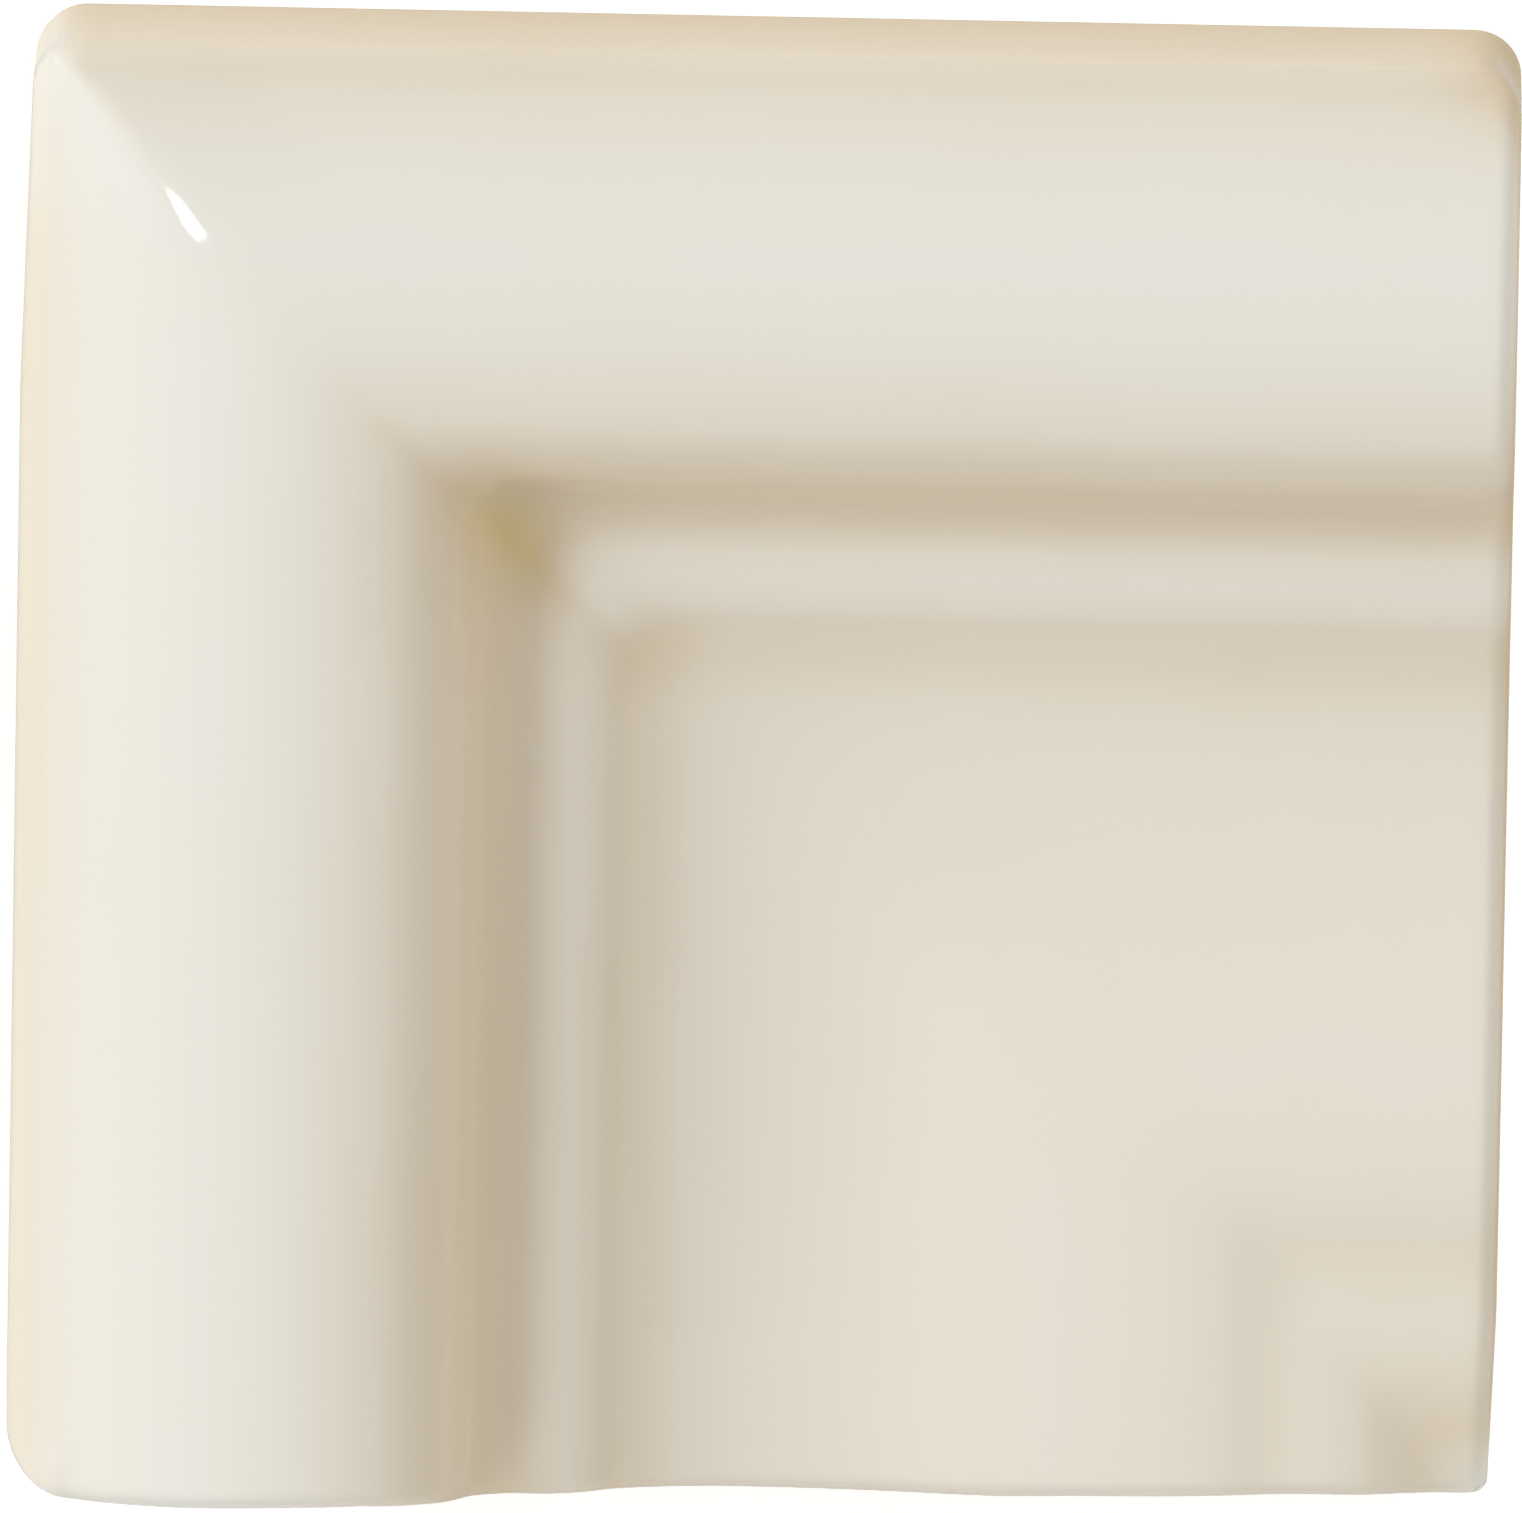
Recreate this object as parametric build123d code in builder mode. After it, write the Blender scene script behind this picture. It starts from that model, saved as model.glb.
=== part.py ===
"""Corner moulding tile: one pressed, fired and glazed piece of ceramic.

Two runs of the same moulding meet in a mitre over a square plan. The bold torus follows the
two outer sides (-X and +Y), and the section steps down to the thin inner corner (+X, -Y).
The tile lies on its back. The origin is the centre of the back face, and +Z points out of the
glazed front. In the section, u runs inwards from the outer side and z is the thickness.
All sizes are in millimetres.
"""

import os

from build123d import *

# Driving dimensions of the whole tile
tile_side = 75.0            # square plan, outer side to inner side
outer_corner_radius = 2.6   # plan rounding where the two outer sides meet
arris_radius = 1.5          # soft edge between the front and the two butting ends
back_chamfer = 0.6          # eased edge round the unglazed back

# Driving dimensions of the section, each thickness measured from the back
crest_offset = 13.4         # outer side to the crest of the torus
crest_height = 14.0
outer_side_height = 8.0     # plain outer side below the torus
shoulder_radius = 3.2       # turn from the outer side into the torus
torus_inner_width = 9.8     # crest to where the inside of the torus would stand upright
torus_inner_drop = 7.0      # crest down to the same place
torus_inner_radius = 6.6    # tight inside turn of the torus
quirk_height = 7.9          # bottom of the narrow groove beside the torus
quirk_radius = 3.4
bead_width = 7.0            # from the quirk to the foot of the bead
bead_height = 8.5
bead_foot_height = 7.3
bead_foot_radius = 3.0
hollow_width = 6.8          # from the foot of the bead to the bottom of the hollow
hollow_height = 6.2
swell_share = 0.76          # how far across from the hollow to the inner bead the swell lies
swell_height = 7.5
lip_foot_height = 6.7
lip_width = 5.8             # the small inner bead
lip_height = 6.85
lip_end_height = 6.65
lip_foot_radius = 14.0
lip_end_radius = 10.0       # soft turn from the inner bead into the margin
margin_width = 6.8          # sloping margin along the inner sides
edge_height = 5.0           # thin inner edge

# Driving dimensions of the keying grooves in the back
key_count = 5
key_pitch = 12.0
key_width = 5.0
key_length = 58.0
key_depth = 1.2

half_side = tile_side / 2


def flat_radius(width, drop, tight):
    """Radius of the arc that is level at the crest and tangent to the tight arc at the side."""
    return ((width - tight) ** 2 + drop**2 - tight**2) / (2 * (drop - tight))


# Each half of the torus is two tangent arcs: a flat one from the crest and a tight one at the side.
outer_flat_radius = flat_radius(crest_offset, crest_height - outer_side_height, shoulder_radius)
inner_flat_radius = flat_radius(torus_inner_width, torus_inner_drop, torus_inner_radius)
outer_flat_centre = Vector(crest_offset, crest_height - outer_flat_radius)
inner_flat_centre = Vector(crest_offset, crest_height - inner_flat_radius)
outer_tight_centre = Vector(shoulder_radius, outer_side_height)
inner_tight_centre = Vector(
    crest_offset + torus_inner_width - torus_inner_radius, crest_height - torus_inner_drop
)

# Points where one member of the moulding meets the next, as (u, z)
outer_base = Vector(0, 0)
spring = Vector(0, outer_side_height)
outer_turn = outer_flat_centre + (outer_tight_centre - outer_flat_centre).normalized() * outer_flat_radius
crest = Vector(crest_offset, crest_height)
inner_turn = inner_flat_centre + (inner_tight_centre - inner_flat_centre).normalized() * inner_flat_radius
quirk_rise = quirk_height - inner_tight_centre.Y
quirk = Vector(inner_tight_centre.X + (torus_inner_radius**2 - quirk_rise**2) ** 0.5, quirk_height)
bead_crest = Vector(quirk.X + bead_width / 2, bead_height)
bead_foot = Vector(quirk.X + bead_width, bead_foot_height)
hollow = Vector(bead_foot.X + hollow_width, hollow_height)
inner_edge = Vector(tile_side, edge_height)
inner_base = Vector(tile_side, 0)
lip_end = Vector(tile_side - margin_width, lip_end_height)
lip_crest = Vector(lip_end.X - lip_width / 2, lip_height)
lip_foot = Vector(lip_end.X - lip_width, lip_foot_height)
swell = Vector(hollow.X + swell_share * (lip_foot.X - hollow.X), swell_height)
ogee_turn = (hollow + swell) / 2

inwards = (1, 0)
outwards = (-1, 0)
upwards = (0, 1)

# The section stands on the -Y end of the tile, with u along +X from the outer side.
section_plane = Plane(origin=(-half_side, -half_side, 0), x_dir=(1, 0, 0), z_dir=(0, -1, 0))
mitre_plane = Plane(origin=(0, 0, 0), x_dir=(1, -1, 0), z_dir=(1, 1, 0))

with BuildSketch(section_plane) as section:
    with BuildLine():
        Line(outer_base, spring)
        TangentArc(spring, outer_turn, tangent=upwards)
        TangentArc(crest, outer_turn, tangent=outwards)
        inner_flat = TangentArc(crest, inner_turn, tangent=inwards)
        TangentArc(inner_turn, quirk, tangent=inner_flat % 1)
        ThreePointArc(quirk, bead_crest, bead_foot)
        TangentArc(hollow, bead_foot, tangent=outwards)
        TangentArc(hollow, ogee_turn, tangent=inwards)
        TangentArc(swell, ogee_turn, tangent=outwards)
        TangentArc(swell, lip_foot, tangent=inwards)
        ThreePointArc(lip_foot, lip_crest, lip_end)
        Polyline(lip_end, inner_edge, inner_base, outer_base)
    make_face()
    soft_corners = (
        (quirk, quirk_radius),
        (bead_foot, bead_foot_radius),
        (lip_foot, lip_foot_radius),
        (lip_end, lip_end_radius),
    )
    for corner, radius in soft_corners:
        fillet(section.vertices().sort_by_distance(corner)[0], radius)

with BuildSketch(section_plane) as corner_section:
    add(section.sketch_local)
    with Locations((outer_corner_radius / 2, crest_height / 2)):
        Rectangle(outer_corner_radius, 2 * crest_height, mode=Mode.INTERSECT)

# Axis about which the outer part of the section turns the corner in plan
corner_axis = Axis((outer_corner_radius - half_side, half_side - outer_corner_radius, 0), (0, 0, 1))

with BuildPart() as tile:
    # One leg of the corner, cut on the mitre, and its mirror image
    extrude(section.sketch, amount=-tile_side)
    split(bisect_by=mitre_plane, keep=Keep.BOTTOM)
    mirror(about=mitre_plane)

    # The outer corner is turned instead of mitred.
    with BuildSketch():
        with Locations((-half_side, half_side)):
            Rectangle(outer_corner_radius, outer_corner_radius, align=(Align.MIN, Align.MAX))
    extrude(amount=crest_height, mode=Mode.SUBTRACT)
    with BuildSketch(section_plane.offset(outer_corner_radius - tile_side)) as turned:
        add(corner_section.sketch_local)
    revolve(axis=corner_axis, revolution_arc=-90)

    # Soft edges round the two butting ends
    end_edges = tile.faces().sort_by(Axis.X)[-1].edges() + tile.faces().sort_by(Axis.Y)[0].edges()
    back_edges = tile.faces().sort_by(Axis.Z)[0].edges()
    fillet([edge for edge in end_edges if edge not in back_edges], arris_radius)

    # Eased edge round the back
    chamfer(tile.faces().sort_by(Axis.Z)[0].edges(), back_chamfer)

    # Keying grooves for the adhesive
    with BuildSketch():
        with GridLocations(0, key_pitch, 1, key_count):
            SlotOverall(key_length, key_width)
    extrude(amount=key_depth, mode=Mode.SUBTRACT)

tile.part.label = "corner_moulding_tile"
os.makedirs("parts", exist_ok=True)
export_step(tile.part, "parts/corner_moulding_tile.step")
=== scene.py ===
# %% [markdown]
# # A glazed corner moulding tile
#
# The real tile is one piece of pressed clay, fired and covered with a glossy cream glaze. Two runs of
# one moulding meet on the diagonal, so that a border of such tiles can turn a corner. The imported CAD
# solid gives the place, the size and the section. This lesson models the same tile again with what the
# kiln adds: a mitre that the glaze has softened, glaze that has gathered in the grooves and run thin on
# the edges, and a bare back.

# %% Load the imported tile
import math

import bpy
import numpy as np
from mathutils import Matrix, Vector


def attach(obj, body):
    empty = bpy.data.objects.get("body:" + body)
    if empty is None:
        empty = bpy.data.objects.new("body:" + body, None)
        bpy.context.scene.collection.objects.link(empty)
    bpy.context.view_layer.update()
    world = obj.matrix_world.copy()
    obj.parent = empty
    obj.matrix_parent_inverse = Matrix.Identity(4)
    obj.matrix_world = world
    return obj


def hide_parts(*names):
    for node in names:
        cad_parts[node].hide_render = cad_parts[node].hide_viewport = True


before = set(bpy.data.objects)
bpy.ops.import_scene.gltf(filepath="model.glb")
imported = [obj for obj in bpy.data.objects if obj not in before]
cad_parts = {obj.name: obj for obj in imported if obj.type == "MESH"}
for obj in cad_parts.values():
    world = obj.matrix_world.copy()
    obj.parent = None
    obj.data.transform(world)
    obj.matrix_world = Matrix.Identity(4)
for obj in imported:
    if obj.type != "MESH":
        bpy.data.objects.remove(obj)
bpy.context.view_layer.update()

cad_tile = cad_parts["corner_moulding_tile"]
mm = 0.001                  # the frame is in metres, and the sizes below are in millimetres

# %% [markdown]
# ## The section of the moulding
#
# A moulding is known by its section: here a bold torus, a narrow quirk, a low bead, a hollow panel that
# swells again, a small inner bead and a thin sloping margin. Each member is an arc, so the section can
# be written as a height over the distance u from the outer side. The same driving sizes as in the CAD
# source are used, because points read from its mesh would show its facets in the gloss.

# %% Driving sizes of the section
tile_side = 75.0
crest = (13.4, 14.0)            # u and height of the top of the torus
spring = (0.0, 8.0)             # where the plain outer side turns into the torus
shoulder_radius = 3.2
torus_inner_width = 9.8
torus_inner_drop = 7.0
torus_inner_radius = 6.6
quirk_height = 7.9
bead_width = 7.0
bead_height = 8.5
bead_foot_height = 7.3
hollow_width = 6.8
hollow_height = 6.2
swell_share = 0.76
swell_height = 7.5
lip_foot_height = 6.7
lip_width = 5.8
lip_height = 6.85
lip_end_height = 6.65
margin_width = 6.8
edge_height = 5.0


# %% Helpers for the arcs
def level_arc(level, other):
    """Centre and radius of the arc that lies level at one point and passes through the other.

    A hollow has a negative radius.
    """
    across = other[0] - level[0]
    rise = other[1] - level[1]
    radius = -(across**2 + rise**2) / (2 * rise)
    return level[0], level[1] - radius, radius


def bowed_arc(start, crown, end):
    """Centre and radius of the arc that rises through three points."""
    start, crown, end = np.array(start), np.array(crown), np.array(end)
    chords = 2 * np.array([crown - start, end - start])
    sums = [crown @ crown - start @ start, end @ end - start @ start]
    centre = np.linalg.solve(chords, sums)
    return centre[0], centre[1], np.linalg.norm(crown - centre)


def tangent_point(tight_centre, tight_radius):
    """Where the flat arc from the crest runs into a tight arc at the side of the torus."""
    across = tight_centre[0] - crest[0]
    drop = crest[1] - tight_centre[1]
    flat_radius = (across**2 + drop**2 - tight_radius**2) / (2 * (drop - tight_radius))
    line = np.array([across, flat_radius - drop])
    line = line / np.linalg.norm(line)
    return crest[0] + flat_radius * line[0], crest[1] - flat_radius + flat_radius * line[1]


# %% The members from the outer side to the inner edge
shoulder_centre = (shoulder_radius, spring[1])
flank_centre = (crest[0] + torus_inner_width - torus_inner_radius, crest[1] - torus_inner_drop)
shoulder_end = tangent_point(shoulder_centre, shoulder_radius)
flank_start = tangent_point(flank_centre, torus_inner_radius)
quirk_rise = quirk_height - flank_centre[1]
quirk = (flank_centre[0] + math.sqrt(torus_inner_radius**2 - quirk_rise**2), quirk_height)
bead_crown = (quirk[0] + bead_width / 2, bead_height)
bead_foot = (quirk[0] + bead_width, bead_foot_height)
hollow = (bead_foot[0] + hollow_width, hollow_height)
lip_end = (tile_side - margin_width, lip_end_height)
lip_crown = (lip_end[0] - lip_width / 2, lip_height)
lip_foot = (lip_end[0] - lip_width, lip_foot_height)
swell = (hollow[0] + swell_share * (lip_foot[0] - hollow[0]), swell_height)
ogee_turn = ((hollow[0] + swell[0]) / 2, (hollow[1] + swell[1]) / 2)

members = [                     # the u where each member ends, and its arc
    (shoulder_end[0], (*shoulder_centre, shoulder_radius)),
    (crest[0], level_arc(crest, shoulder_end)),
    (flank_start[0], level_arc(crest, flank_start)),
    (quirk[0], (*flank_centre, torus_inner_radius)),
    (bead_foot[0], bowed_arc(quirk, bead_crown, bead_foot)),
    (hollow[0], level_arc(hollow, bead_foot)),
    (ogee_turn[0], level_arc(hollow, ogee_turn)),
    (swell[0], level_arc(swell, ogee_turn)),
    (lip_foot[0], level_arc(swell, lip_foot)),
    (lip_end[0], bowed_arc(lip_foot, lip_crown, lip_end)),
]
print("members:", len(members), "arcs and a straight margin; quirk at u =", round(quirk[0], 2))

# %% The section as samples, with its inside corners rounded
sample_step = 0.02
section_u = np.arange(0, tile_side + sample_step / 2, sample_step)
section_z = np.interp(section_u, [lip_end[0], tile_side], [lip_end_height, edge_height])
member_start = 0.0
for member_end, (centre_u, centre_z, radius) in members:
    on_member = (section_u >= member_start) & (section_u < member_end)
    half_chord = section_u[on_member] - centre_u
    section_z[on_member] = centre_z + np.sign(radius) * np.sqrt(np.maximum(radius**2 - half_chord**2, 0))
    member_start = member_end


def roll_ball(heights, radius):
    """The heights after a ball has rolled along them: an inside corner takes the ball's radius."""
    reach = round(radius / sample_step)
    offsets = np.arange(-reach, reach + 1) * sample_step
    cap = np.sqrt(np.maximum(radius**2 - offsets**2, 0))
    windows = np.lib.stride_tricks.sliding_window_view
    raised = (windows(np.pad(heights, reach, mode="edge"), 2 * reach + 1) + cap).max(axis=1)
    return (windows(np.pad(raised, reach, mode="edge"), 2 * reach + 1) - cap).min(axis=1)


inside_corners = [              # place, radius of the ball, how far to either side it reaches
    (quirk[0], 3.4, 5.0),
    (bead_foot[0], 3.0, 3.0),
    (lip_foot[0], 14.0, 5.0),
]
sharp_z = section_z.copy()
for corner_u, corner_radius, corner_reach in inside_corners:
    near = np.abs(section_u - corner_u) < corner_reach
    section_z[near] = roll_ball(sharp_z, corner_radius)[near]


def section_height(u):
    """Height of the front over the back, at a distance u from the outer side."""
    return np.interp(u, section_u, section_z)


# %% Hold the section against the CAD solid
half_side = tile_side / 2
probe_y = 2.5 - half_side       # a line across the left run, clear of the soft edge of its end
probe_z = 50.0
down = Vector((0, 0, -1))
gaps = []
for u in np.arange(1.0, tile_side - 3.0, 0.5):
    hit, spot, normal, index = cad_tile.ray_cast(Vector((u - half_side, probe_y, probe_z)) * mm, down)
    gaps.append(spot.z / mm - section_height(u))
print("section against the CAD solid: largest gap", round(float(np.abs(gaps).max()), 3), "mm")

# %% [markdown]
# ## The pressed front
#
# In the press, a die with this section squeezes the clay. A swept profile with a bevelled mitre would
# be one way to model that, but the softness of the mitre changes along the diagonal: a crisp ridge at
# the outer corner, a wide soft valley at the quirk. The two runs are not quite alike either: their
# grooves drift by up to two millimetres, and the ridge leans over to the top run. So the front starts
# as a grid, its lines are drawn together where the section bends, and every crossing is pressed down to
# the section's height. Last, the corners are rounded in plan and the outline wavers a little.

# %% Lines of the grid, shared by both directions so that the mitre runs through the crossings
arris_radius = 1.1              # soft edge at the two butting ends


def evenly(start, end, step):
    """Stations from start up to, but not including, end."""
    return np.linspace(start, end, round((end - start) / step), endpoint=False)


shoulder_lines = shoulder_radius * (1 - np.cos(np.radians(np.arange(0, 60, 6))))
arris_lines = arris_radius * (1 - np.cos(np.radians(np.arange(0, 91, 9))))
lines = np.concatenate([
    shoulder_lines,
    evenly(1.6, 18.0, 0.42),
    evenly(18.0, 31.0, 0.25),
    evenly(31.0, 58.0, 0.6),
    evenly(58.0, tile_side - arris_radius, 0.45),
    tile_side - arris_lines[::-1],
])
print("grid lines each way:", len(lines))

# %% Add the grid at the tile's size and move its lines
bpy.ops.object.select_all(action="DESELECT")
bpy.ops.mesh.primitive_grid_add(
    x_subdivisions=len(lines) - 1, y_subdivisions=len(lines) - 1, size=tile_side * mm
)
tile = bpy.context.object
tile.name = "glazed_corner_tile"
points = np.empty(len(tile.data.vertices) * 3)
tile.data.vertices.foreach_get("co", points)
points = points.reshape(-1, 3) / mm
column = np.rint((points[:, 0] / tile_side + 0.5) * (len(lines) - 1)).astype(int)
row = np.rint((0.5 - points[:, 1] / tile_side) * (len(lines) - 1)).astype(int)
from_west = lines[column]       # distance from the outer side at -X
from_north = lines[row]         # distance from the outer side at +Y
print("crossings:", len(points))

# %% Where this tile strays from an even mitre
mitre_places = [0, 3, 6, 8, 10, 19, 22, 25, 28, 40, 53, 62, 68, 75]
mitre_softness = [0, 0.6, 1.2, 2.2, 3.0, 3.0, 3.0, 4.0, 3.0, 5.0, 5.0, 2.5, 2.0, 2.0]
drift_places = [12, 22, 24, 26, 31, 48, 54, 61, 66, 71]
left_drift = [0, 0.6, 0.6, 0.6, 0.1, 0, 0.6, 1.8, 1.2, 0]       # how far inwards the left run lies
top_drift = [0, -0.35, -0.65, -0.75, -0.2, 0, 0, 0, 0, 0]       # the same for the top run
ridge_skew = 1.6                # the ridge leans over to the top run at the outer corner
ridge_length = 8.0
ridge_rise = 2.0                # the lean starts at the rim and is full at this distance from it


def soft_least(a, b, softness):
    """The smaller of two distances, with the corner between them rounded."""
    overlap = np.maximum(softness - np.abs(a - b), 0) / np.maximum(softness, 1e-6)
    return np.minimum(a, b) - overlap**2 * softness / 4


def across_section(u, v):
    """Where on the section a point lies that is u and v from the two outer sides."""
    by_ridge = np.clip(1 - v / ridge_length, 0, 1) * np.clip(1 - (u - v - ridge_skew) / ridge_length, 0, 1)
    by_ridge = by_ridge * np.clip(v / ridge_rise, 0, 1)
    u = u - np.interp(u, drift_places, left_drift)
    v = v - np.interp(v, drift_places, top_drift) + ridge_skew * by_ridge
    return soft_least(u, v, np.interp(np.minimum(u, v), mitre_places, mitre_softness))


# %% Press the front
lip_fill = 0.12                 # glaze that fills the foot of the inner bead on the left run
lip_fill_place = 64
lip_fill_reach = 2.5
run_change = 4                  # width of the change from one run to the other


def arris_drop(gap):
    """How far the soft edge of an end has fallen, at this gap from the end."""
    over = np.maximum(arris_radius - gap, 0)
    return arris_radius - np.sqrt(np.maximum(arris_radius**2 - over**2, 0))


def press(u, v):
    """Height of the pressed and glazed front at distances u and v from the two outer sides."""
    end_gap = np.maximum(soft_least(tile_side - u, tile_side - v, arris_radius), 0)
    on_left_run = np.clip(0.5 + (v - u) / run_change, 0, 1)
    filled = lip_fill * np.exp(-(((u - lip_fill_place) / lip_fill_reach) ** 2)) * on_left_run
    return section_height(across_section(u, v)) + filled - arris_drop(end_gap)


points[:, 0] = from_west - half_side
points[:, 1] = half_side - from_north
points[:, 2] = press(from_west, from_north)
print("front from", round(points[:, 2].min(), 2), "to", round(points[:, 2].max(), 2), "mm")

# %% Round the corners in plan
# Towards an end, the shoulder of the torus changes into the lower edge of the end.
corner_radii = {(-1, 1): 2.6, (1, 1): 2.4, (-1, -1): 3.3, (1, -1): 0.8}     # signs of x and y, radius
for (side_x, side_y), radius in corner_radii.items():
    past_x = side_x * points[:, 0] - (half_side - radius)
    past_y = side_y * points[:, 1] - (half_side - radius)
    inside = (past_x > 0) & (past_y > 0)
    past_x, past_y = past_x[inside], past_y[inside]
    ring = np.maximum(past_x, past_y)
    pull = ring / np.hypot(past_x, past_y)
    points[inside, 0] = side_x * (half_side - radius + past_x * pull)
    points[inside, 1] = side_y * (half_side - radius + past_y * pull)
    if side_x == side_y:
        from_side = np.arctan2(past_x, past_y) if side_y > 0 else np.arctan2(past_y, past_x)
        share = np.sin(from_side) ** 2
        by_side = section_height(radius - ring)
        by_end = section_height(radius) - arris_drop(radius - ring)
        points[inside, 2] = by_side + (by_end - by_side) * share
print("corner radii in plan:", sorted(set(corner_radii.values())), "mm")

# %% Let the outline waver as fired clay does
left_lean = 0.5                 # the left side leans in towards the top
left_reach = 18.0
end_places = [0, 5, 9, 14, 18, 21, 23, 24.5, 50, 54, 60, 66, 72, 75]
end_inset = [0.1, 0.1, 0.2, 0.4, 0.45, 0.3, 0.1, 0, 0, 0.15, 0.25, 0.35, 0.25, 0.1]     # lower end
end_reach = 10.0
right_lean = 0.3                # the right-hand end leans in towards its bottom

lean_share = np.clip(1 - from_north / left_reach, 0, 1) * np.clip(1 - from_west / left_reach, 0, 1)
points[:, 0] += left_lean * lean_share
inset_share = np.clip(1 - (tile_side - from_north) / end_reach, 0, 1)
points[:, 1] += np.interp(from_west, end_places, end_inset) * inset_share
points[:, 0] -= right_lean * inset_share * np.clip(1 - (tile_side - from_west) / end_reach, 0, 1)
tile.data.vertices.foreach_set("co", (points * mm).ravel())
tile.data.update()
print("outline wavers by up to", max(left_lean, *end_inset), "mm")

# %% [markdown]
# ## Sides and back
#
# The sides are straight, and the edge round the back is eased so that it does not chip. A block could be
# joined on under the front, but extruding the rim keeps sides and front in one skin. By hand this is
# three moves: extrude the rim of the front, flatten it just above the back, then extrude once more and
# draw it in for the eased edge. A face closes the back.

# %% Extrude the rim down and close the back
back_chamfer = 0.6


def edit(piece):
    """Edit mode on this piece alone, with nothing selected and edges to be picked."""
    bpy.ops.object.select_all(action="DESELECT")
    piece.select_set(True)
    bpy.context.view_layer.objects.active = piece
    bpy.ops.object.mode_set(mode="EDIT")
    bpy.ops.mesh.select_mode(type="EDGE")
    bpy.ops.mesh.select_all(action="DESELECT")


edit(tile)
bpy.ops.mesh.select_non_manifold(
    extend=False, use_wire=False, use_boundary=True, use_multi_face=False,
    use_non_contiguous=False, use_verts=False,
)
bpy.ops.mesh.extrude_region_move()
bpy.ops.transform.resize(value=(1, 1, 0), center_override=(0, 0, back_chamfer * mm))
bpy.ops.mesh.extrude_region_move(TRANSFORM_OT_translate={"value": (0, 0, -back_chamfer * mm)})
drawn_in = 1 - 2 * back_chamfer / tile_side
bpy.ops.transform.resize(value=(drawn_in, drawn_in, 1), center_override=(0, 0, 0))
bpy.ops.mesh.edge_face_add()
bpy.ops.mesh.select_all(action="SELECT")
bpy.ops.mesh.normals_make_consistent(inside=False)
bpy.ops.object.mode_set(mode="OBJECT")
print("closed tile:", len(tile.data.polygons), "faces")

# %% [markdown]
# ## Keying grooves
#
# Pressed wall tiles have shallow grooves in the back for the adhesive to grip. They could be drawn into
# the back and pushed in, but the back is one large face, and a Boolean cuts it without more edges. One
# groove is a flat bar with its ends rounded by a bevel. Copies of it are cut out of the back together.

# %% One bar with round ends, copied in a row
key_count = 5
key_pitch = 12.0
key_width = 5.0
key_length = 58.0
key_depth = 1.2
almost_half = 0.4995            # of the width, so that the two rounded corners of an end just stay apart
end_segments = 10

bpy.ops.object.select_all(action="DESELECT")
bpy.ops.mesh.primitive_cube_add(size=1, scale=(key_length * mm, key_width * mm, 2 * key_depth * mm))
bar = bpy.context.object
bar.name = "keying_bars"
bpy.ops.object.transform_apply(location=True, rotation=True, scale=True)
edit(bar)
bpy.ops.object.mode_set(mode="OBJECT")
for edge in bar.data.edges:
    low, high = (bar.data.vertices[end].co for end in edge.vertices)
    edge.select = abs(low.z - high.z) > key_depth * mm
bpy.ops.object.mode_set(mode="EDIT")
bpy.ops.mesh.bevel(offset=almost_half * key_width * mm, segments=end_segments, affect="EDGES")
bpy.ops.mesh.select_all(action="SELECT")
bpy.ops.transform.translate(value=(0, -key_pitch * (key_count - 1) / 2 * mm, 0))
for step in range(key_count - 1):
    bpy.ops.mesh.duplicate_move(TRANSFORM_OT_translate={"value": (0, key_pitch * mm, 0)})
bpy.ops.object.mode_set(mode="OBJECT")
print("bars to cut with:", key_count)

# %% Cut the grooves
sharpest_smooth = math.radians(35)

bpy.ops.object.select_all(action="DESELECT")
tile.select_set(True)
bpy.context.view_layer.objects.active = tile
cut = tile.modifiers.new("keying grooves", "BOOLEAN")
cut.operation = "DIFFERENCE"
cut.solver = "EXACT"
cut.object = bar
bpy.ops.object.modifier_apply(modifier=cut.name)
bpy.data.objects.remove(bar)
bpy.ops.object.shade_smooth_by_angle(angle=sharpest_smooth)
print("tile with grooves:", len(tile.data.polygons), "faces")

# %% [markdown]
# ## How the glaze lies
#
# Molten glaze is thin and pale on the crests. It gathers in the grooves and at the foot of the sides,
# and there its depth turns it amber. This could be painted on by hand, but most of it follows the
# section, so a short table of depths gives it, with a correction for each of the two runs; on the outer
# side of the left run that correction is painted shade. The rest is a few soft spots: a pool in the
# corner of the quirk, partly pooled glaze and partly painted shade, a line of painted shade down the
# valley of the mitre into it, two spots of pooled glaze and painted shade at the inner corners of the
# mitre, a spot of painted shade at the top right-hand corner, a pale outer corner, and glaze that has
# rolled back from the two ends. The depth is stored on the mesh as an attribute that a material can read.

# %% Depth of the glaze along the runs, from 0 for the thinnest up
corner_pale = 0.25              # the outer corner is paler on the left of its ridge
pale_reach = 10
glaze_across = [                # distance from the outer side, depth
    (0.0, 0.42), (1.2, 0.33), (2.3, 0.22), (3.8, 0.13), (6.0, 0.06),
    (10.0, 0.05), (13.4, 0.13), (16.5, 0.26), (18.8, 0.40), (20.5, 0.58),
    (22.0, 0.72), (23.5, 0.78), (24.8, 0.68), (26.3, 0.44), (27.8, 0.30),
    (29.0, 0.42), (30.3, 0.58), (32.0, 0.52), (34.0, 0.35), (38.0, 0.26),
    (52.0, 0.20), (57.0, 0.26), (61.8, 0.42), (65.5, 0.35), (68.0, 0.40),
    (71.0, 0.60), (75.0, 0.40),
]
# On the outer side of the left run, the extra depth is painted shade that darkens the side facing the left
# lamps.
left_differs = [(0, 0.16), (2, 0.02), (6, 0), (15, 0), (18, 0.08), (29, 0.12), (34, 0)]
top_differs = [(0, 0.18), (9, 0), (24, 0), (26, -0.08), (29, -0.08), (31, 0)]
run_edge = 1.2                  # width of the change from one run to the other, along the mitre


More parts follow.
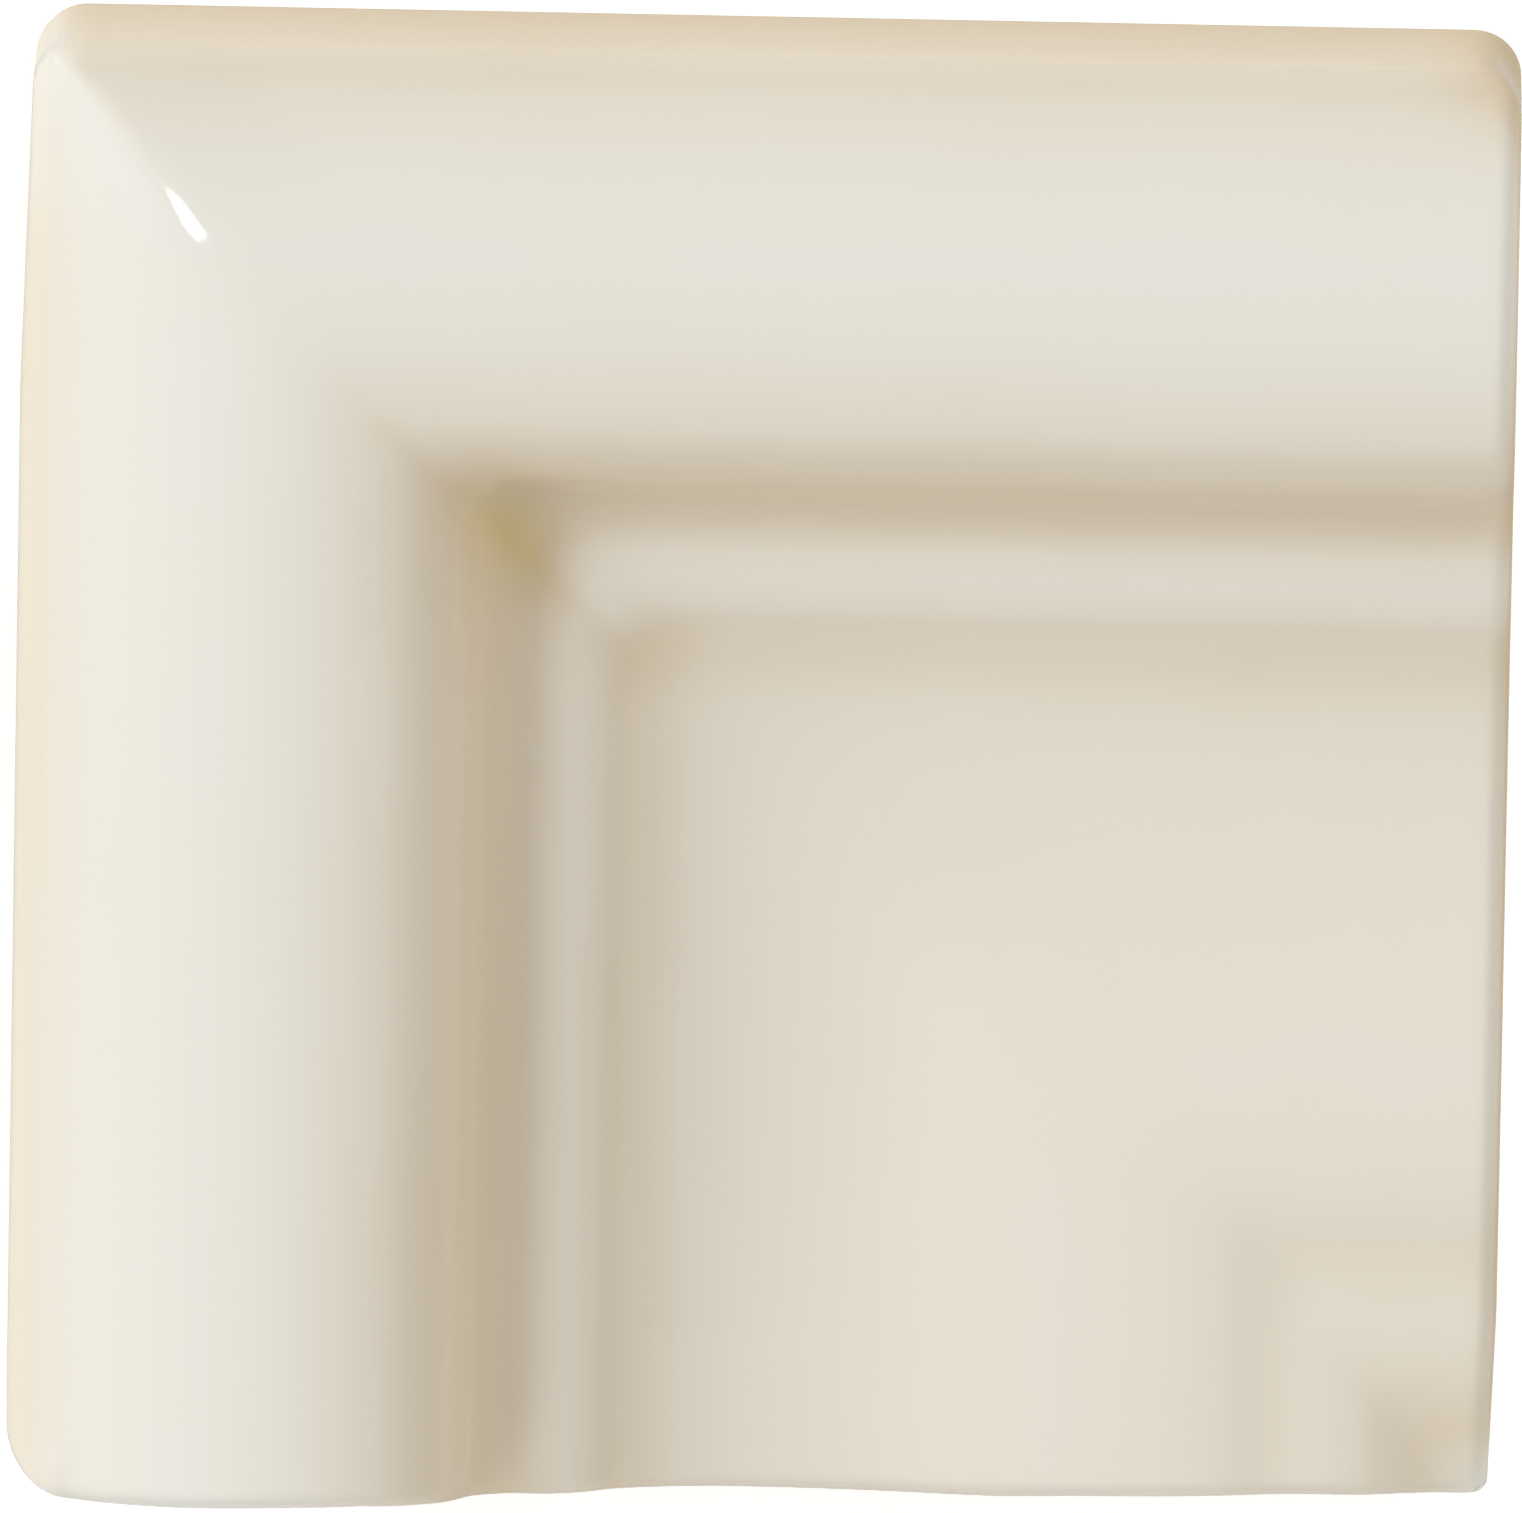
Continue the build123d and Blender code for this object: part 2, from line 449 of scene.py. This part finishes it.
def along_runs(u, v):
    """Depth that follows the section, with what each of the two runs has more or less of; on the outer
    side of the left run, the extra is painted shade.
    """
    ridge_here = ridge_skew * np.clip(1 - v / ridge_length, 0, 1)
    on_top_run = np.clip(0.5 + (u - v - ridge_here) / run_edge, 0, 1)
    depth = np.interp(across_section(u, v), *zip(*glaze_across))
    depth += np.interp(v, *zip(*top_differs)) * on_top_run
    depth += np.interp(u, *zip(*left_differs)) * (1 - on_top_run)
    return depth - corner_pale * (1 - on_top_run) * np.clip(1 - v / pale_reach, 0, 1)


# %% The pool in the corner of the quirk, and painted shade down the valley of the mitre
pool_and_shade_start = (22.8, 22.0)       # both grooves drain into their corner
pool_and_shade_end = (27.5, 28.2)
pool_and_shade_width = 1.8
# The pool is partly glaze gathered in the corner of the quirk and partly painted shade, because that
# corner lies in shade.
pool_and_shade_extra = 0.6
valley_shade_extra = 0.15             # painted shade down the valley of the mitre, into the pool
valley_shade_width = 1.2
valley_shade_places = [15, 19, 22, 24]


def on_mitre(u, v):
    """Depth that the long pool and the shade down the mitre add: the pool is partly pooled glaze and
    partly painted shade, and the line down the valley of the mitre is painted shade.
    """
    line = np.subtract(pool_and_shade_end, pool_and_shade_start)
    length = np.linalg.norm(line)
    off_u = u - (pool_and_shade_start[0] + pool_and_shade_end[0]) / 2
    off_v = v - (pool_and_shade_start[1] + pool_and_shade_end[1]) / 2
    along = (off_u * line[0] + off_v * line[1]) / length**2 * 2
    aside = (off_u * line[1] - off_v * line[0]) / length / pool_and_shade_width
    pool_and_shade = pool_and_shade_extra * np.exp(-(along**2) - aside**2)
    down_mitre = np.interp((u + v) / 2, valley_shade_places, [0, 1, 1, 0])
    return pool_and_shade + valley_shade_extra * down_mitre * np.exp(-(((u - v) / valley_shade_width) ** 2))


# %% Spots of pooled glaze and painted shade, and glaze that has rolled back from the two ends
# Two spots at the inner corners of the mitre are partly pooled glaze and partly painted shade; the third,
# at the top right-hand corner, is painted shade.
pooling_and_shade_spots = [(24.9, 24.9, 6.0, 0.12), (31.8, 31.3, 2.2, 0.22), (75, 0, 3.0, 0.5)]     # u, v, reach, depth
end_extra = 0.9                 # at the right-hand end
end_width = 0.28
lower_share = 0.3               # the lower end has less
end_start = 2                   # the roll starts at this distance from the inner corner
end_rise = 4                    # and is full this much further on
inner_corner_pale = 0.5
inner_corner_reach = 2.2
end_fade = 4                    # height above the back below which the roll fades out on the ends


def soft_spot(u, v, spot_u, spot_v, reach):
    """1 at a place on the tile, falling softly away over its reach."""
    return np.exp(-((u - spot_u) ** 2 + (v - spot_v) ** 2) / reach**2)


def rolled_back(u, v):
    """How much of the roll of glaze at the ends lies here."""
    gap_u, gap_v = np.maximum(tile_side - u, 0), np.maximum(tile_side - v, 0)
    right_end = np.exp(-gap_u / end_width) * np.clip((gap_v - end_start) / end_rise, 0, 1)
    lower_end = np.exp(-gap_v / end_width) * np.clip((gap_u - end_start) / end_rise, 0, 1)
    inner_corner = soft_spot(u, v, tile_side, tile_side, inner_corner_reach)
    return right_end + lower_share * lower_end - inner_corner_pale * inner_corner


# %% Add it all up and store the depth on the mesh
foot_extra = 0.25               # glaze that has run down to the foot of the sides
most_depth = 1.6


def glaze_and_shade_depth(u, v, height):
    """Depth of the glaze at distances u and v from the two outer sides, with the painted shade that is
    given as depth too.
    """
    depth = along_runs(u, v) + on_mitre(u, v)
    for dark_u, dark_v, reach, extra in pooling_and_shade_spots:
        depth += extra * soft_spot(u, v, dark_u, dark_v, reach)
    depth += end_extra * rolled_back(u, v) * np.clip(height / end_fade, 0, 1)
    return depth + foot_extra * np.clip(1 - height / spring[1], 0, 1)


places = np.empty(len(tile.data.vertices) * 3)
tile.data.vertices.foreach_get("co", places)
places = places.reshape(-1, 3) / mm
depth_here = glaze_and_shade_depth(places[:, 0] + half_side, half_side - places[:, 1], places[:, 2])
glaze_and_shade_attribute = tile.data.attributes.new("glaze_and_shade_depth", "FLOAT", "POINT")
glaze_and_shade_attribute.data.foreach_set("value", np.clip(depth_here, 0, most_depth).astype(np.float32))
print("glaze depth from", round(float(depth_here.min()), 2), "to", round(float(depth_here.max()), 2))

# %% Store where the sides are dry, because the glaze there has soaked into the clay
dry_width = 0.3
above_top_side = np.clip(1 - (half_side - places[:, 1]) / dry_width, 0, 1)
dry_here = np.where(places[:, 2] < 2 * back_chamfer, 1, above_top_side)
dry_attribute = tile.data.attributes.new("dry_side", "FLOAT", "POINT")
dry_attribute.data.foreach_set("value", dry_here.astype(np.float32))
print("dry points:", int((dry_here > 0).sum()))

# %% [markdown]
# ## The cream glaze
#
# The finish is a glossy, slightly uneven cream. A clear coat over a clay colour could make it, but this
# glaze hides the clay, so one shader with a low roughness is enough. A colour ramp turns the stored depth
# from cream through amber to olive, and a wide noise lets it waver, as sprayed glaze does. On the top
# side and at the foot of every side the glaze has soaked into the clay, so there it is chalky and matt,
# and at the very foot the clay is bare. A fine bump breaks up the reflections.

# %% Helpers for the node trees
def new_material(name):
    """A material with an empty Principled shader, as (material, nodes, link, shader)."""
    material = bpy.data.materials.new(name)
    material.use_nodes = True
    tree = material.node_tree
    return material, tree.nodes, tree.links.new, tree.nodes["Principled BSDF"]


def ramp(nodes, link, value, start, end):
    """A smooth step from 0 to 1 as the value goes from start to end."""
    node = nodes.new("ShaderNodeMapRange")
    node.interpolation_type = "SMOOTHSTEP"
    node.inputs["From Min"].default_value = start
    node.inputs["From Max"].default_value = end
    link(value, node.inputs["Value"])
    return node.outputs["Result"]


def tint(nodes, link, share, under, colour, most):
    """Mixes a colour over what lies under it, up to the share that is given as most."""
    amount = nodes.new("ShaderNodeMath")
    amount.operation = "MULTIPLY"
    amount.inputs[1].default_value = most
    link(share, amount.inputs[0])
    mix = nodes.new("ShaderNodeMix")
    mix.data_type = "RGBA"
    link(amount.outputs[0], mix.inputs["Factor"])
    link(under, mix.inputs["A"])
    mix.inputs["B"].default_value = (*colour, 1)
    return mix.outputs["Result"]


def noise(nodes, link, coordinates, size, detail):
    """A noise whose blotches are about this size in millimetres."""
    node = nodes.new("ShaderNodeTexNoise")
    node.inputs["Scale"].default_value = 1 / (size * mm)
    node.inputs["Detail"].default_value = detail
    link(coordinates, node.inputs["Vector"])
    return node.outputs["Fac"]


# %% Colour of the glaze
glaze_colours = [               # depth, colour
    (0.0, (0.83, 0.815, 0.745)),
    (0.35, (0.82, 0.761, 0.647)),
    (1.0, (0.70, 0.567, 0.385)),
    # the olive of the deepest glaze, seen in the pool at the quirk, is partly glaze colour and partly
    # painted shade
    (most_depth, (0.64, 0.51, 0.235)),
]
waver_size = 14
waver_depth = 0.06

glaze, nodes, link, shader = new_material("cream_glaze")
coordinates = nodes.new("ShaderNodeTexCoord").outputs["Object"]
place = nodes.new("ShaderNodeSeparateXYZ")
link(coordinates, place.inputs["Vector"])
stored = nodes.new("ShaderNodeAttribute")
stored.attribute_name = "glaze_and_shade_depth"
waver = nodes.new("ShaderNodeMapRange")
waver.inputs["To Min"].default_value = -waver_depth
waver.inputs["To Max"].default_value = waver_depth
link(noise(nodes, link, coordinates, waver_size, 2), waver.inputs["Value"])
uneven = nodes.new("ShaderNodeMath")
uneven.operation = "ADD"
link(stored.outputs["Fac"], uneven.inputs[0])
link(waver.outputs["Result"], uneven.inputs[1])
scaled = nodes.new("ShaderNodeMath")
scaled.operation = "DIVIDE"
scaled.inputs[1].default_value = most_depth
link(uneven.outputs[0], scaled.inputs[0])
body = nodes.new("ShaderNodeValToRGB")
while len(body.color_ramp.elements) < len(glaze_colours):
    body.color_ramp.elements.new(0.5)
for stop, (depth, colour) in zip(body.color_ramp.elements, glaze_colours):
    stop.position = depth / most_depth
    stop.color = (*colour, 1)
link(scaled.outputs[0], body.inputs["Fac"])
print("glaze colours:", len(body.color_ramp.elements))

# %% Chalky glaze where the sides are dry, and bare clay at their foot
chalk = (0.92, 0.80, 0.62)
chalk_share = 0.2
clay = (0.58, 0.47, 0.34)
clay_share = 0.9
glaze_starts = 0.9              # height over the back above which no bare clay shows
clay_ends = 0.5                 # height below which the clay is bare

dry = nodes.new("ShaderNodeAttribute")
dry.attribute_name = "dry_side"
chalky = tint(nodes, link, dry.outputs["Fac"], body.outputs["Color"], chalk, chalk_share)
bare_foot = ramp(nodes, link, place.outputs["Z"], glaze_starts * mm, clay_ends * mm)
link(tint(nodes, link, bare_foot, chalky, clay, clay_share), shader.inputs["Base Color"])

# %% Gloss of the glaze
smoothest = 0.04                # roughness of the glossy glaze, from here
smooth = 0.08                   # to here
dry_extra = 0.9                 # roughness that a dry side has on top of that
ripple_size = 3.5
ripple_height = 0.15

shader.inputs["IOR"].default_value = 1.5
roughness = nodes.new("ShaderNodeMapRange")
roughness.inputs["To Min"].default_value = smoothest
roughness.inputs["To Max"].default_value = smooth
link(noise(nodes, link, coordinates, 9, 3), roughness.inputs["Value"])
matt = nodes.new("ShaderNodeMath")
matt.operation = "MULTIPLY_ADD"
matt.inputs[1].default_value = dry_extra
matt.use_clamp = True
link(dry.outputs["Fac"], matt.inputs[0])
link(roughness.outputs["Result"], matt.inputs[2])
link(matt.outputs[0], shader.inputs["Roughness"])
ripple = nodes.new("ShaderNodeBump")
ripple.inputs["Strength"].default_value = 0.08
ripple.inputs["Distance"].default_value = ripple_height * mm
link(noise(nodes, link, coordinates, ripple_size, 1), ripple.inputs["Height"])
link(ripple.outputs["Normal"], shader.inputs["Normal"])
print("cream glaze:", len(nodes), "nodes")

# %% [markdown]
# ## The bare back
#
# The back is left unglazed. Fired clay is matt, finely grained and blotched. The grain is too fine to be
# modelled in faces, so a fine noise raises it as a bump, and a coarse noise blotches the colour.

# %% Bare fired clay
pale_clay = (0.68, 0.57, 0.43)
blotch_size = 8
grain_size = 0.5
grain_height = 0.1

biscuit, nodes, link, shader = new_material("bare_clay")
coordinates = nodes.new("ShaderNodeTexCoord").outputs["Object"]
blotches = nodes.new("ShaderNodeMix")
blotches.data_type = "RGBA"
blotches.inputs["A"].default_value = (*clay, 1)
blotches.inputs["B"].default_value = (*pale_clay, 1)
link(noise(nodes, link, coordinates, blotch_size, 4), blotches.inputs["Factor"])
link(blotches.outputs["Result"], shader.inputs["Base Color"])
shader.inputs["Roughness"].default_value = 0.9
grain = nodes.new("ShaderNodeBump")
grain.inputs["Strength"].default_value = 0.4
grain.inputs["Distance"].default_value = grain_height * mm
link(noise(nodes, link, coordinates, grain_size, 2), grain.inputs["Height"])
link(grain.outputs["Normal"], shader.inputs["Normal"])
print("bare clay:", len(nodes), "nodes")

# %% Glaze on the front and sides, bare clay on the back, its eased edge and its grooves
bare_below = key_depth + 0.05   # just above the floors of the grooves

tile.data.materials.clear()
tile.data.materials.append(glaze)
tile.data.materials.append(biscuit)
for face in tile.data.polygons:
    face.material_index = 1 if face.center.z < bare_below * mm else 0
print("bare faces:", sum(face.material_index for face in tile.data.polygons))

# %% The glazed tile stands for the CAD solid
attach(tile, "root")
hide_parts("corner_moulding_tile")
print(tile.name, "replaces corner_moulding_tile")

# %% [markdown]
# ## Camera
#
# The tile is seen from almost straight above, and its sides stay nearly parallel. A camera without
# perspective would be one way, but a long lens from far off is what a photographer would use. The camera
# leans a little towards the +Y side, so that this side shows, and is turned by about a degree.

# %% Place the camera
image_width = 1522
image_height = 1513
pixels_per_mm = 19.88
aim_pixel = (762.0, 763.0)      # where the middle of the tile falls in the image
aim = Vector((0, 0, 5)) * mm
camera_distance = 2.5
lean_north = math.radians(13.5)
lean_west = math.radians(-0.5)
roll = math.radians(0.98)
sensor_width = 36

back = Vector((
    -math.sin(lean_west),
    math.sin(lean_north) * math.cos(lean_west),
    math.cos(lean_north) * math.cos(lean_west),
))
up = (Vector((0, 1, 0)) - back * back.y).normalized()
turned = Matrix((up.cross(back), up, back)).transposed() @ Matrix.Rotation(roll, 3, "Z")
bpy.ops.object.camera_add(location=aim + back * camera_distance, rotation=turned.to_euler())
camera = bpy.context.object
camera.data.sensor_width = sensor_width
camera.data.lens = pixels_per_mm * camera_distance / mm * sensor_width / image_width
camera.data.shift_x = (image_width / 2 - aim_pixel[0]) / image_width
camera.data.shift_y = (aim_pixel[1] - image_height / 2) / image_width
camera.data.clip_end = 100
bpy.context.scene.camera = camera
print("lens:", round(camera.data.lens), "mm")

# %% [markdown]
# ## Studio light
#
# One big lamp overhead would be simple, but it would flatten the grooves. So two broad soft lamps stand
# low on the left, with a third above them, and every member of the moulding shows a light and a dark
# side. Two more fill in from the upper and the lower right, and a faint one, almost on the floor, grazes
# the top side. A small oval lamp shows only in the gloss, as the glint on the ridge of the mitre. Each is
# given by its direction and by the light that it brings to the tile, and its power follows from its
# distance.

# %% Helper for a soft lamp
lamp_distance = 2.5


def soft_lamp(name, off_vertical, bearing, width, height, light, glints=False):
    """An area lamp that faces the tile. Angles are in degrees, and bearing 0 is +X, 90 is +Y."""
    tilt, turn = math.radians(off_vertical), math.radians(bearing)
    towards = Vector((math.sin(tilt) * math.cos(turn), math.sin(tilt) * math.sin(turn), math.cos(tilt)))
    bpy.ops.object.light_add(
        type="AREA", location=towards * lamp_distance, rotation=towards.to_track_quat("Z", "Y").to_euler()
    )
    lamp = bpy.context.object
    lamp.name = name
    lamp.data.shape = "RECTANGLE"
    lamp.data.size = 2 * lamp_distance * math.tan(math.radians(width / 2))
    lamp.data.size_y = 2 * lamp_distance * math.tan(math.radians(height / 2))
    lamp.data.energy = light * math.pi * lamp_distance**2
    lamp.visible_camera = False
    lamp.visible_glossy = glints
    print(name, "power", round(lamp.data.energy, 2), "W")
    return lamp


# %% The lamps
ridge_turn = math.radians(-45)    # the small lamp lies across the ridge

soft_lamp("left_back", 70, 148, 44, 22, 2.33)
soft_lamp("left_front", 70, 221, 32, 22, 0.8)
soft_lamp("left_upper", 58, 222, 32, 24, 0.58)
soft_lamp("upper_right", 45, 42, 44, 40, 1.65)
soft_lamp("lower_right", 46, 305, 24, 40, 1.19)
soft_lamp("top_low", 84, 80, 40, 12, 0.2)
ridge_lamp = soft_lamp("ridge_lamp", 14.4, 178, 6, 3.3, 0.05, glints=True)
ridge_lamp.data.shape = "ELLIPSE"
ridge_lamp.rotation_euler.rotate_axis("Z", ridge_turn)
ridge_lamp.visible_diffuse = False

# %% [markdown]
# ## Floor and surroundings
#
# The tile lies on a plain white floor. What the camera sees of the floor is lifted to white by a little
# light of its own, so the lamps can stay at a plain level and the shadow still shows. The surroundings
# are white to the camera and dimmer in the gloss, and they light nothing else.

# %% White floor
floor_size = 12.0
floor_gap = 0.02                # mm, so that the floor and the back of the tile share no plane
floor_lift = 0.5                # light that the camera alone sees on the floor

bpy.ops.object.select_all(action="DESELECT")
bpy.ops.mesh.primitive_plane_add(size=floor_size, location=(0, 0, -floor_gap * mm))
floor = bpy.context.object
floor.name = "floor"
paper, nodes, link, shader = new_material("white_floor")
shader.inputs["Base Color"].default_value = (0.8, 0.8, 0.8, 1)
shader.inputs["Roughness"].default_value = 0.9
shader.inputs["Specular IOR Level"].default_value = 0.0
shader.inputs["Emission Color"].default_value = (1, 1, 1, 1)
seen = nodes.new("ShaderNodeLightPath")
lift = nodes.new("ShaderNodeMath")
lift.operation = "MULTIPLY"
lift.inputs[1].default_value = floor_lift
link(seen.outputs["Is Camera Ray"], lift.inputs[0])
link(lift.outputs[0], shader.inputs["Emission Strength"])
floor.data.materials.append(paper)
print("floor:", floor_size, "m wide")

# %% White surroundings
gloss_level = 0.39              # how bright the surroundings are in the gloss

world = bpy.data.worlds.new("studio")
bpy.context.scene.world = world
world.use_nodes = True
nodes, link = world.node_tree.nodes, world.node_tree.links.new
room = nodes["Background"]
room.inputs["Color"].default_value = (1, 1, 1, 1)
seen = nodes.new("ShaderNodeLightPath")
direct = nodes.new("ShaderNodeMath")
direct.operation = "MAXIMUM"
link(seen.outputs["Is Camera Ray"], direct.inputs[0])
link(seen.outputs["Is Transmission Ray"], direct.inputs[1])
gleam = nodes.new("ShaderNodeMath")
gleam.operation = "MULTIPLY_ADD"
gleam.inputs[1].default_value = gloss_level
link(seen.outputs["Is Glossy Ray"], gleam.inputs[0])
link(direct.outputs[0], gleam.inputs[2])
link(gleam.outputs[0], room.inputs["Strength"])
bpy.context.scene.view_settings.view_transform = "Standard"
print("surroundings:", len(nodes), "nodes")
